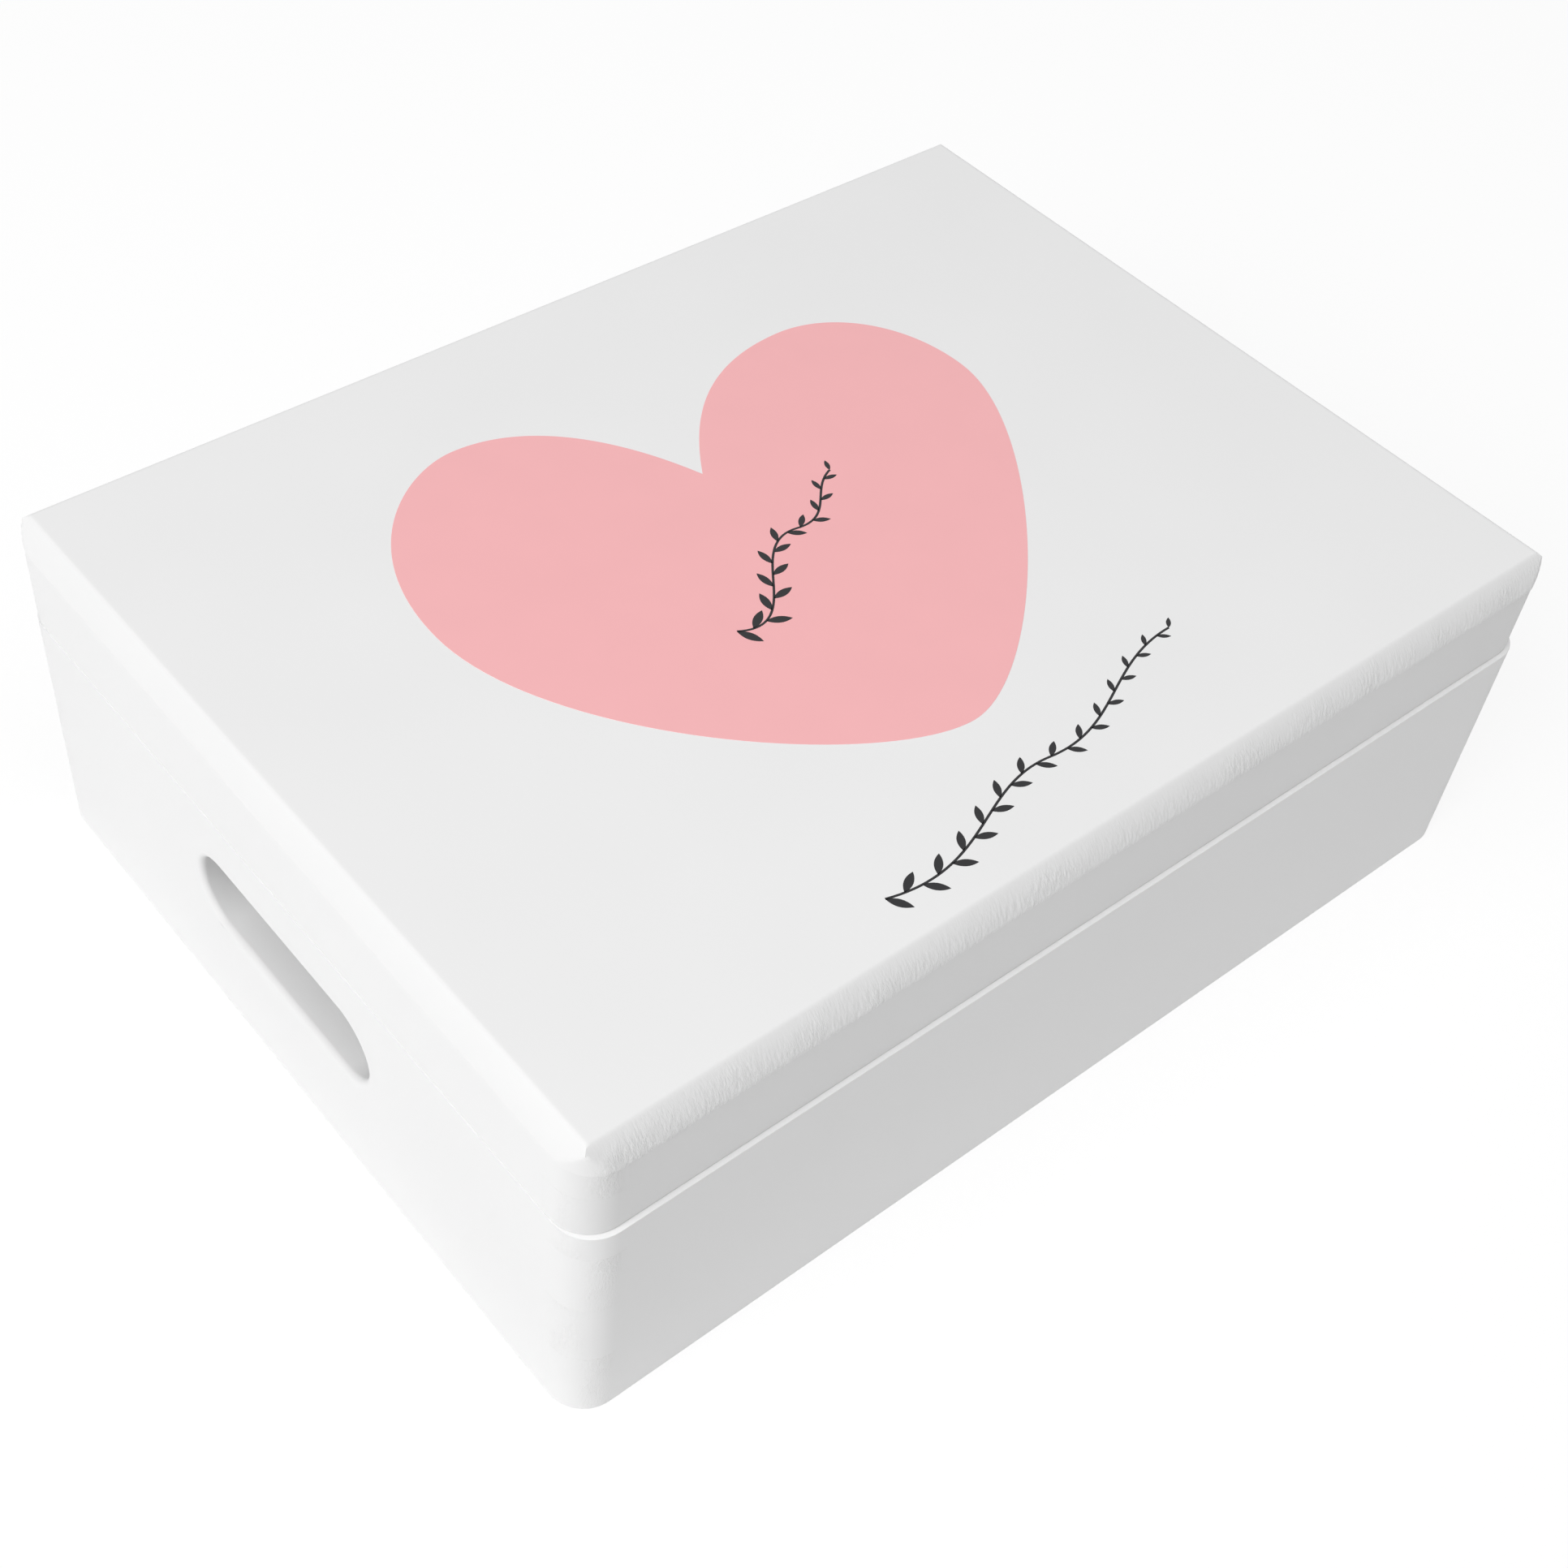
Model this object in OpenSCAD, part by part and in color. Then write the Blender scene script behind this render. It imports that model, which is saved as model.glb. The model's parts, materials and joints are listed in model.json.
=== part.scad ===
// Painted wooden keepsake box. The carcass is finger jointed from four boards, gets a top board
// glued on, and is then sawn apart into the box and its lid, which two stop hinges join again.
// Frame: X runs along the front, Y from the front to the hinges, Z up, origin under the middle.

/* [Box] */
// Outside width along the front
box_w = 400; // [340:1:460]
// Outside depth, front to back
box_d = 301.5; // [260:0.5:340]
// Height of the box below the saw cut
body_h = 94; // [86:1:110]
// Thickness of the walls and of the lid's rails
wall_t = 16; // [14:0.5:20]
// Radius of the four upright corners
corner_r = 13; // [6:0.5:16]
// Height of the lowest finger of the corner joints
first_finger_h = 29.5; // [18:0.5:40]
// Height of each finger above it
finger_h = 27; // [18:1:40]

/* [Bottom] */
// Thickness of the bottom panel
bottom_t = 4; // [3:0.5:6]
// Width of the rebate that the bottom panel lies in
rebate_w = 8; // [6:0.5:10]
// Gap round the bottom panel in its rebate
bottom_gap = 0.3; // [0.1:0.1:1]
// Length of the panel pins that hold the bottom
panel_pin_len = 14; // [10:1:20]
// Radius of a panel pin
panel_pin_r = 0.8; // [0.6:0.1:1.2]
// Panel pins along the front and along the back
long_pin_count = 4; // [2:1:8]
// Panel pins along each end
end_pin_count = 3; // [2:1:6]

/* [Lid] */
// Height of the rails that form the lid's sides
rail_h = 28; // [24:1:40]
// Thickness of the top board
top_t = 10; // [10:0.5:16]
// Radius of the rounded top edge
top_edge_r = 16.4; // [14:0.2:30]
// Width that the rounded edge takes from the top face
top_edge_w = 5.6; // [4:0.1:7]
// Drop from the top face to the foot of the rounded edge
top_edge_drop = 9.4; // [5:0.1:9.4]
// Distance that the lid's front lies behind the box's front
lid_setback = 1.6; // [0:0.1:3]
// Distance that each end of the lid lies inside the box's end
lid_end_setback = 0.3; // [0:0.1:1.5]
// Gap between the box and the closed lid
lid_gap = 0.3; // [0.2:0.1:0.8]
// Angle at which the hinges stop the open lid
lid_open = 100; // [80:1:110]

/* [Hand slots] */
// Length of the slot through each end
slot_len = 94; // [80:1:120]
// Height of the slot
slot_h = 29; // [22:1:34]
// Height of the slot's middle above the floor
slot_z = 59; // [40:1:64]

/* [Hinges] */
// Distance between the middles of the two hinges
hinge_span = 240; // [180:1:280]
// Width of a hinge leaf
leaf_w = 30; // [24:1:40]
// Length of the part of a leaf that lies on the inner face
leaf_len = 18; // [16:1:21]
// Thickness of the leaf's sheet
leaf_t = 1.2; // [1:0.1:1.6]
// Outer radius of the knuckles
knuckle_r = 2.4; // [2.1:0.1:2.8]
// Radius of the hinge pin
hinge_pin_r = 1.1; // [0.9:0.05:1.3]
// Running clearance round the hinge pin
pin_clearance = 0.05; // [0.03:0.01:0.1]
// Side gap between neighbouring knuckles
knuckle_gap = 0.2; // [0.1:0.05:0.5]
// Distance of the hinge pin behind the back face
hinge_proud = 0.8; // [0.6:0.1:1.4]
// Radius that the stop lugs reach
stop_r = 5; // [4.4:0.1:6]

/* [Hinge screws] */
// Distance between the two screws of a leaf
screw_pitch = 16; // [14:0.5:18]
// Distance of the screws from the saw cut
screw_drop = 11; // [8:0.5:12]
// Radius of the screw's shank
screw_r = 1.3; // [1:0.1:1.5]
// Radius of the countersunk head
screw_head_r = 2.5; // [2.2:0.1:3]
// Length of the screw under its head
screw_len = 10; // [8:1:12]
// Clearance round a screw
screw_clearance = 0.05; // [0.02:0.01:0.2]

/* [Heart] */
// Scale of the printed heart
heart_scale = 1; // [0.5:0.05:1.1]
// Shift of the heart along the front
heart_x = 0; // [-20:1:20]
// Shift of the heart from the front to the back
heart_y = 0; // [-20:1:20]
// Thickness of the printed film
print_t = 0.15; // [0.1:0.05:0.3]

/* [Hidden] */

paint = "#f2f2f0";
print_pink = "#f6b2b5";
hinge_metal = "#c9a24e";
screw_metal = "#b8b8b4";

front = -1;
back = 1;
left = -1;
right = 1;
below = -1;
above = 1;
// Overrun of every cutter past the face it cuts
cut = 1;
// Sides of a true circle in the preview
round_fn = 96;
small_fn = 40;

// The carcass before the saw cut, and the fingers up its corners
carcass_h = body_h + rail_h;
finger_count = 1 + ceil((carcass_h - first_finger_h) / finger_h);
first_end_finger = 0;
first_front_finger = 1;

// The lid's plan is a little smaller, and flush with the box at the back
lid_w = box_w - 2 * lid_end_setback;
lid_d = box_d - lid_setback;
lid_y = lid_setback / 2;
lid_z = body_h + lid_gap;
board_z = lid_z + rail_h;
lid_top_z = board_z + top_t;

// Faces that the hinges are set against
box_back_y = box_d / 2;
inner_back_y = box_back_y - wall_t;
hinge_y = box_back_y + hinge_proud;
hinge_z = body_h + lid_gap / 2;

// Hinge details that follow from its sizes
bore_r = hinge_pin_r + pin_clearance;
middle_w = leaf_w / 3;
knuckle_clear = 0.25;
barrel_pocket_r = knuckle_r + 2 * knuckle_clear;
pocket_gap = 0.2;
stop_t = 1.2;
stop_angle_low = -60;
stop_margin = 0.5;
stop_angle_high = stop_angle_low + lid_open + stop_margin;

// Panel pins: flat heads let into the panel
pin_head_r = 2 * panel_pin_r;
pin_head_t = 0.8;
pin_head_sunk = 0.2;
pin_clear = 0.02;
pin_inset = wall_t - rebate_w / 2;
pin_end_inset = 32;

// The heart is drawn by hand, so its halves differ a little. It is six curves: notch to crown,
// crown to flank and flank to tip on each side, level at the crowns and the tip and upright
// at the flanks. Places are on the lid, and reaches are the lengths of the curves' handles.
heart_notch = [-8, 42];
heart_tip = [-12, -92];
right_notch_handle = [7, 66];
right_crown = [61, 87];
right_flank = [104, 37];
right_crown_reach = [34, 24];
right_flank_reach = [29, 41];
right_tip_reach = 32;
left_notch_handle = [-21, 75];
left_crown = [-69, 97];
left_flank = [-122, 28];
left_crown_reach = [27, 19];
left_flank_reach = [46, 55];
left_tip_reach = 35;
curve_steps = 14;

// A box with upright rounded corners, standing on z = 0
module round_block(w, d, h, r) {
    translate([-w / 2 + r, -d / 2, 0]) cube([w - 2 * r, d, h]);
    translate([-w / 2, -d / 2 + r, 0]) cube([w, d - 2 * r, h]);
    for (end = [left, right], side = [front, back])
        translate([end * (w / 2 - r), side * (d / 2 - r), 0])
            cylinder(r = r, h = h, $fn = round_fn);
}

// A block whose two long top edges, along X, are rounded. The arc runs from its foot on the side
// face to the top face, and its centre lies inside, on the line that halves this chord squarely.
module eased_block(w, d, h) {
    chord = norm([top_edge_w, top_edge_drop]);
    slide = sqrt(pow(top_edge_r, 2) - pow(chord / 2, 2)) / chord;
    inset = top_edge_w / 2 + top_edge_drop * slide;
    axis_z = h - top_edge_drop / 2 - top_edge_w * slide;
    translate([-w / 2, -d / 2, -cut]) cube([w, d, h - top_edge_drop + cut]);
    translate([-w / 2, -d / 2 + inset, -cut]) cube([w, d - 2 * inset, h + 2 * cut]);
    for (side = [front, back])
        translate([-w / 2, side * (d / 2 - inset), axis_z])
            rotate([0, 90, 0]) cylinder(r = top_edge_r, h = w, $fn = round_fn);
}

// Foot of a finger, counted from the lowest one
function finger_z(k) = k == 0 ? 0 : first_finger_h + (k - 1) * finger_h;

// Corner blocks that give every second finger of a long wall to the end walls
module long_wall_cuts(w, side, d, first) {
    for (k = [first:2:finger_count - 1], end = [left, right])
        translate([end > 0 ? w / 2 - wall_t : -w / 2 - cut,
                   side > 0 ? d / 2 - wall_t - cut : -d / 2 - cut, finger_z(k)])
            cube([wall_t + cut, wall_t + 2 * cut, finger_z(k + 1) - finger_z(k)]);
}

// Corner blocks that give every second finger of an end wall to the long walls
module end_wall_cuts(w, side, d, first) {
    for (k = [first:2:finger_count - 1], end = [front, back])
        translate([side > 0 ? w / 2 - wall_t - cut : -w / 2 - cut,
                   end > 0 ? d / 2 - wall_t : -d / 2 - cut, finger_z(k)])
            cube([wall_t + 2 * cut, wall_t + cut, finger_z(k + 1) - finger_z(k)]);
}

// The front or back board of the carcass between two heights
module long_wall(side, w, d, z0, z1) {
    difference() {
        intersection() {
            translate([0, 0, z0]) round_block(w, d, z1 - z0, corner_r);
            translate([-w / 2 - cut, side > 0 ? d / 2 - wall_t : -d / 2 - cut, z0 - cut])
                cube([w + 2 * cut, wall_t + cut, z1 - z0 + 2 * cut]);
        }
        long_wall_cuts(w, side, d, first_end_finger);
    }
}

// A left or right board of the carcass between two heights
module end_wall(side, w, d, z0, z1) {
    difference() {
        intersection() {
            translate([0, 0, z0]) round_block(w, d, z1 - z0, corner_r);
            translate([side > 0 ? w / 2 - wall_t : -w / 2 - cut, -d / 2 - cut, z0 - cut])
                cube([wall_t + cut, d + 2 * cut, z1 - z0 + 2 * cut]);
        }
        end_wall_cuts(w, side, d, first_front_finger);
    }
}

// The rebate for the bottom panel, cut round all four walls
module bottom_rebate() {
    reach = wall_t - rebate_w;
    translate([-box_w / 2 + reach, -box_d / 2 + reach, -cut])
        cube([box_w - 2 * reach, box_d - 2 * reach, bottom_t + cut]);
}

// One hand slot, through an end wall
module hand_slot(side) {
    half = slot_len / 2 - slot_h / 2;
    x0 = side > 0 ? box_w / 2 - wall_t - cut : -box_w / 2 - cut;
    translate([x0, -half, slot_z - slot_h / 2]) cube([wall_t + 2 * cut, 2 * half, slot_h]);
    for (end = [front, back])
        translate([x0, end * half, slot_z])
            rotate([0, 90, 0]) cylinder(r = slot_h / 2, h = wall_t + 2 * cut, $fn = round_fn);
}

// Places of the panel pins, round the rebate
function pin_row(n, span) = [for (i = [0:n - 1]) -span / 2 + i * span / (n - 1)];
function panel_pin_places() = concat(
    [for (x = pin_row(long_pin_count, box_w - 2 * pin_end_inset), side = [front, back])
        [x, side * (box_d / 2 - pin_inset)]],
    [for (y = pin_row(end_pin_count, box_d - 2 * pin_end_inset - 2 * wall_t), side = [left, right])
        [side * (box_w / 2 - pin_inset), y]]);

// One panel pin, point up, grown by a clearance where it cuts its own hole
module panel_pin(grow) {
    head_z = grow > 0 ? -cut : pin_head_sunk;
    translate([0, 0, pin_head_sunk])
        cylinder(r = panel_pin_r + grow, h = panel_pin_len + grow, $fn = small_fn);
    translate([0, 0, head_z])
        cylinder(r = pin_head_r + grow, h = pin_head_sunk + pin_head_t + grow - head_z,
                 $fn = small_fn);
}

module panel_pins(grow) {
    for (p = panel_pin_places()) translate([p[0], p[1], 0]) panel_pin(grow);
}

// Pockets in the wood for one hinge: the flat seat of a leaf and the groove for the barrel
module hinge_pocket(side, half) {
    w = leaf_w + 2 * pocket_gap;
    face = half > 0 ? lid_z : body_h;
    translate([side * hinge_span / 2 - w / 2, inner_back_y - cut,
               half > 0 ? face - cut : face - leaf_t])
        cube([w, wall_t + 2 * cut, leaf_t + cut]);
    translate([side * hinge_span / 2 - w / 2, hinge_y, hinge_z])
        rotate([0, 90, 0]) cylinder(r = barrel_pocket_r, h = w, $fn = small_fn);
}

// Screws of one leaf, heads towards the inside of the box
module leaf_screws(side, half, grow) {
    z = half > 0 ? lid_z + screw_drop : body_h - screw_drop;
    for (s = [left, right])
        translate([side * hinge_span / 2 + s * screw_pitch / 2, inner_back_y - leaf_t, z])
            rotate([-90, 0, 0]) {
                cylinder(r1 = screw_head_r + grow, r2 = screw_r + grow, h = leaf_t,
                         $fn = small_fn);
                translate([0, 0, leaf_t - (grow > 0 ? grow : 0)])
                    cylinder(r = screw_r + grow, h = screw_len + 2 * grow, $fn = small_fn);
            }
}

// One knuckle or a row of two, with the strip that joins it to the leaf
module knuckle(x0, w, flat_z) {
    translate([x0, hinge_y, hinge_z]) rotate([0, 90, 0])
        cylinder(r = knuckle_r, h = w, $fn = small_fn);
    translate([x0, hinge_y - knuckle_r - 2 * knuckle_clear, flat_z])
        cube([w, knuckle_r + 2 * knuckle_clear, leaf_t]);
}

// A radial plate from r0 to the stop radius, its flat on the line at the given angle
module stop_lug(x0, w, r0, angle, half) {
    translate([x0, hinge_y, hinge_z]) rotate([angle, 0, 0])
        translate([0, r0, half > 0 ? 0 : -stop_t]) cube([w, stop_r - r0, stop_t]);
}

// Leaf bent round the edge of the wood: half is below for the box, above for the lid
module hinge_leaf(side, half) {
    x0 = side * hinge_span / 2 - leaf_w / 2;
    flat_z = half > 0 ? lid_z : body_h - leaf_t;
    side_w = middle_w - knuckle_gap;
    lug_root = knuckle_r - knuckle_clear;
    color(hinge_metal) difference() {
        union() {
            translate([x0, inner_back_y - leaf_t, flat_z])
                cube([leaf_w, hinge_y - knuckle_r - knuckle_clear - inner_back_y + leaf_t, leaf_t]);
            translate([x0, inner_back_y - leaf_t, half > 0 ? lid_z : body_h - leaf_len])
                cube([leaf_w, leaf_t, leaf_len]);
            if (half > 0) {
                knuckle(x0 + middle_w, middle_w, flat_z);
                stop_lug(x0 + middle_w, middle_w, lug_root, stop_angle_high, half);
            } else {
                for (x = [x0, x0 + leaf_w - side_w]) {
                    knuckle(x, side_w, flat_z);
                    stop_lug(x, side_w, lug_root, stop_angle_low, half);
                }
                stop_lug(x0, leaf_w, knuckle_r + knuckle_clear, stop_angle_low, half);
            }
        }
        translate([x0 - cut, hinge_y, hinge_z]) rotate([0, 90, 0])
            cylinder(r = bore_r, h = leaf_w + 2 * cut, $fn = small_fn);
        leaf_screws(side, half, screw_clearance);
    }
}

module hinge_pin(side) {
    color(screw_metal) translate([side * hinge_span / 2 - leaf_w / 2, hinge_y, hinge_z])
        rotate([0, 90, 0]) cylinder(r = hinge_pin_r, h = leaf_w, $fn = small_fn);
}

module hinge_screws(side, half) {
    color(screw_metal) leaf_screws(side, half, 0);
}

module box_front_wall() {
    color(paint) difference() {
        long_wall(front, box_w, box_d, 0, body_h);
        bottom_rebate();
        panel_pins(pin_clear);
    }
}

module box_back_wall() {
    color(paint) difference() {
        long_wall(back, box_w, box_d, 0, body_h);
        bottom_rebate();
        panel_pins(pin_clear);
        for (side = [left, right]) {
            hinge_pocket(side, below);
            leaf_screws(side, below, screw_clearance);
        }
    }
}

module box_end_wall(side) {
    color(paint) difference() {
        end_wall(side, box_w, box_d, 0, body_h);
        bottom_rebate();
        panel_pins(pin_clear);
        hand_slot(side);
    }
}

module box_bottom_panel() {
    reach = wall_t - rebate_w + bottom_gap;
    color(paint) difference() {
        translate([-box_w / 2 + reach, -box_d / 2 + reach, 0])
            cube([box_w - 2 * reach, box_d - 2 * reach, bottom_t]);
        panel_pins(pin_clear);
    }
}

module box_panel_pins() {
    color(screw_metal) panel_pins(0);
}

// The top board, rounded along all four top edges, with mitred corners
module lid_top_board() {
    color(paint) translate([0, lid_y, board_z]) intersection() {
        round_block(lid_w, lid_d, top_t, corner_r);
        eased_block(lid_w, lid_d, top_t);
        rotate([0, 0, 90]) eased_block(lid_d, lid_w, top_t);
    }
}

// The lid's rails are the carcass above the saw cut, so they keep its fingers
module lid_long_rail(side) {
    translate([0, lid_y, lid_gap]) long_wall(side, lid_w, lid_d, body_h, carcass_h);
}

module lid_end_rail(side) {
    color(paint) translate([0, lid_y, lid_gap]) end_wall(side, lid_w, lid_d, body_h, carcass_h);
}

module lid_front_rail() {
    color(paint) lid_long_rail(front);
}

module lid_back_rail() {
    color(paint) difference() {
        lid_long_rail(back);
        for (side = [left, right]) {
            hinge_pocket(side, above);
            leaf_screws(side, above, screw_clearance);
        }
    }
}

// Points along one curve with its two handles, without its last point
function bezier(a, b, c, d) = [for (i = [0:curve_steps - 1]) let (t = i / curve_steps, u = 1 - t)
    u * u * u * a + 3 * u * u * t * b + 3 * u * t * t * c + t * t * t * d];

// One half of the outline from the notch to the tip; out is 1 on the right and -1 on the left
function heart_half(out, handle, crown, flank, crown_reach, flank_reach, tip_reach) = concat(
    bezier(heart_notch, handle, crown - [out * crown_reach[0], 0], crown),
    bezier(crown, crown + [out * crown_reach[1], 0], flank + [0, flank_reach[0]], flank),
    bezier(flank, flank - [0, flank_reach[1]], heart_tip + [out * tip_reach, 0], heart_tip));

// The points in reverse order, without the first one, which both halves share
function turned_back(points) = [for (i = [len(points) - 1:-1:1]) points[i]];

module lid_heart_print() {
    right_half = heart_half(1, right_notch_handle, right_crown, right_flank, right_crown_reach,
                            right_flank_reach, right_tip_reach);
    left_half = heart_half(-1, left_notch_handle, left_crown, left_flank, left_crown_reach,
                           left_flank_reach, left_tip_reach);
    color(print_pink) translate([heart_x, heart_y, lid_top_z]) linear_extrude(height = print_t)
        scale([heart_scale, heart_scale])
            polygon(concat(right_half, [heart_tip], turned_back(left_half)));
}

box_front_wall();
box_back_wall();
box_end_wall(left);  // box_left_wall
box_end_wall(right);  // box_right_wall
box_bottom_panel();
box_panel_pins();
lid_top_board();
lid_front_rail();
lid_back_rail();
lid_end_rail(left);  // lid_left_rail
lid_end_rail(right);  // lid_right_rail
lid_heart_print();
hinge_leaf(left, below);  // left_hinge_box_leaf
hinge_leaf(left, above);  // left_hinge_lid_leaf
hinge_pin(left);  // left_hinge_pin
hinge_screws(left, below);  // left_hinge_box_screws
hinge_screws(left, above);  // left_hinge_lid_screws
hinge_leaf(right, below);  // right_hinge_box_leaf
hinge_leaf(right, above);  // right_hinge_lid_leaf
hinge_pin(right);  // right_hinge_pin
hinge_screws(right, below);  // right_hinge_box_screws
hinge_screws(right, above);  // right_hinge_lid_screws
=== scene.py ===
# %% [markdown]
# # A painted keepsake box
#
# The object is a pine box, painted white, with rounded upright corners, a lid on two small
# hinges, hand slots through its ends and a pink heart printed on top. This file dresses the
# measured model of it: every board keeps its place and size, and gets the soft edges, paint,
# end grain and fittings that the real one shows. All lengths are in metres.

# %% The measured model
import json
import math

import bmesh
import bpy
from mathutils import Matrix, Vector, noise
from mathutils.bvhtree import BVHTree

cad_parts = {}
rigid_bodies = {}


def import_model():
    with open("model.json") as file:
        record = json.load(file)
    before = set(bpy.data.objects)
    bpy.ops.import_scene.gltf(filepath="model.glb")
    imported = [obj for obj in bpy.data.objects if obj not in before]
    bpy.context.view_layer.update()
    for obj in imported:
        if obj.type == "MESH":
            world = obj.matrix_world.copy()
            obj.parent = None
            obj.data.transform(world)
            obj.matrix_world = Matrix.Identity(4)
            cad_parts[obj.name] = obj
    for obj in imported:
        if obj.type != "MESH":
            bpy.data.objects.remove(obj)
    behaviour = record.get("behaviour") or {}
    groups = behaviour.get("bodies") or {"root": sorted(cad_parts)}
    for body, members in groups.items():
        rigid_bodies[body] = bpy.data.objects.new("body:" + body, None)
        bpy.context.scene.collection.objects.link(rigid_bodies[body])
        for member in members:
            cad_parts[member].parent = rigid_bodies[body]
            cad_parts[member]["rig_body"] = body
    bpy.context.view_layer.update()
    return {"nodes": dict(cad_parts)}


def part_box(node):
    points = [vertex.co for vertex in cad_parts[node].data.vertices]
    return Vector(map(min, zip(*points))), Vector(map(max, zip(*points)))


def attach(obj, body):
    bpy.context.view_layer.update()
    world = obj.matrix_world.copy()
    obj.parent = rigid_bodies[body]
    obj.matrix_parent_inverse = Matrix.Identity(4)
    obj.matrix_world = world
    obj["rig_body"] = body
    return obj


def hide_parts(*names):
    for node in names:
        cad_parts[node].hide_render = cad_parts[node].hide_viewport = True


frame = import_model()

MM = 0.001
scene = bpy.context.scene
front_low, front_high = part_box("box_front_wall")
back_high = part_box("box_back_wall")[1]
board_low, board_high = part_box("lid_top_board")
box_w, box_d = front_high.x - front_low.x, back_high.y - front_low.y
half_w, half_d = (board_high.x - board_low.x) / 2, (board_high.y - board_low.y) / 2
wall_t = front_high.y - front_low.y
top_z = board_high.z


def linked(name, data):
    """A new object in the scene that shows this data"""
    made = bpy.data.objects.new(name, data)
    scene.collection.objects.link(made)
    return made


print("box", round(box_w, 4), "wide, top at", round(top_z, 4))

# %% [markdown]
# ## Camera
#
# The camera looks down on the near corner from the left. Its place is given as a product
# photographer would note it: a turn round the object, a height angle, a slight roll and a
# distance from the point it aims at. A small shift frames the box without turning the lens.

# %% Camera
IMAGE_SIDE = 1932
FOCAL_PX = 2768.1
SENSOR_MM = 36
camera_turn = math.radians(-43.529)
camera_height = math.radians(48.325)
camera_roll = math.radians(-5.947)
camera_distance = 0.7192
camera_aim = Vector((-0.0604, -0.0394, 0.0662))
camera_shift = (0.040, 0.0296)
camera_sees = (0.01, 50)


def make_camera():
    """The camera at the photograph's viewing angle"""
    turn, height = camera_turn, camera_height
    back = Vector((math.sin(turn) * math.cos(height), -math.cos(turn) * math.cos(height),
                   math.sin(height)))
    right = Vector((math.cos(turn), math.sin(turn), 0))
    up = back.cross(right)
    across = right * math.cos(camera_roll) - up * math.sin(camera_roll)
    upward = back.cross(across)
    data = bpy.data.cameras.new("camera")
    data.sensor_width = SENSOR_MM
    data.lens = FOCAL_PX / IMAGE_SIDE * SENSOR_MM
    data.shift_x, data.shift_y = camera_shift
    data.clip_start, data.clip_end = camera_sees
    camera = linked("camera", data)
    turned = Matrix((across, upward, back)).transposed().to_4x4()
    camera.matrix_world = Matrix.Translation(camera_aim + back * camera_distance) @ turned
    scene.camera = camera
    print("camera at", [round(v, 3) for v in camera.matrix_world.translation])


make_camera()

# %% [markdown]
# ## Small helpers for node trees
#
# Materials and Geometry Nodes trees are both built by adding nodes and wiring their sockets.
# A few short functions keep that readable. The first adds a node and fills its inputs, and
# an input is either a plain value or the output socket of another node. The others are the
# steps that come again and again: arithmetic, a change of range, noise and a mix of colours.

# %% Node helpers
def add(tree, kind, inputs=None, **settings):
    """Adds a node, sets its settings and fills or links its inputs"""
    node = tree.nodes.new(kind)
    for name, value in settings.items():
        setattr(node, name, value)
    for key, value in (inputs or {}).items():
        if isinstance(value, bpy.types.NodeSocket):
            tree.links.new(value, node.inputs[key])
        else:
            node.inputs[key].default_value = value
    return node


def maths(tree, operation, *values):
    """One step of arithmetic on numbers or sockets"""
    return add(tree, "ShaderNodeMath", dict(enumerate(values)), operation=operation).outputs[0]


def vector_maths(tree, operation, *values):
    """One step of arithmetic on vectors, as a number where the step gives a number"""
    node = add(tree, "ShaderNodeVectorMath", dict(enumerate(values)), operation=operation)
    return node.outputs["Value" if operation in ("DOT_PRODUCT", "LENGTH") else "Vector"]


def vector(tree, x=0.0, y=0.0, z=0.0):
    """Three numbers or sockets as one vector"""
    return add(tree, "ShaderNodeCombineXYZ", {0: x, 1: y, 2: z}).outputs[0]


def split(tree, value):
    """The X, Y and Z of a vector"""
    return add(tree, "ShaderNodeSeparateXYZ", {0: value}).outputs


def remap(tree, value, start=(0.0, 1.0), to=(0.0, 1.0), kind="LINEAR"):
    """A number brought from one range to another and kept inside it"""
    return add(tree, "ShaderNodeMapRange", {
        "Value": value, "From Min": start[0], "From Max": start[1], "To Min": to[0],
        "To Max": to[1]}, interpolation_type=kind).outputs[0]


def speckle(tree, place, per_m, detail=2.0, roughness=0.5):
    """Soft noise with so many waves to the metre"""
    return add(tree, "ShaderNodeTexNoise", {"Vector": place, "Scale": per_m, "Detail": detail,
                                            "Roughness": roughness}).outputs[0]


def blend(tree, share, first, second):
    """The first colour where the share is 0, the second where it is 1"""
    return add(tree, "ShaderNodeMix", {"Factor": share, "A": first, "B": second},
               data_type="RGBA").outputs["Result"]


def mix_shaders(tree, share, first, second):
    """The first shader where the share is 0, the second where it is 1"""
    return add(tree, "ShaderNodeMixShader", {0: share, 1: first.outputs[0],
                                             2: second.outputs[0]})


def new_material(name):
    """An empty node material and its output node"""
    material = bpy.data.materials.new(name)
    material.use_nodes = True
    material.node_tree.nodes.clear()
    return material, material.node_tree


def finish_material(tree, shader):
    """Links the shader to the material's output"""
    add(tree, "ShaderNodeOutputMaterial", {"Surface": shader.outputs[0]})


def grey(value):
    """A neutral colour"""
    return (value, value, value, 1)
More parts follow.
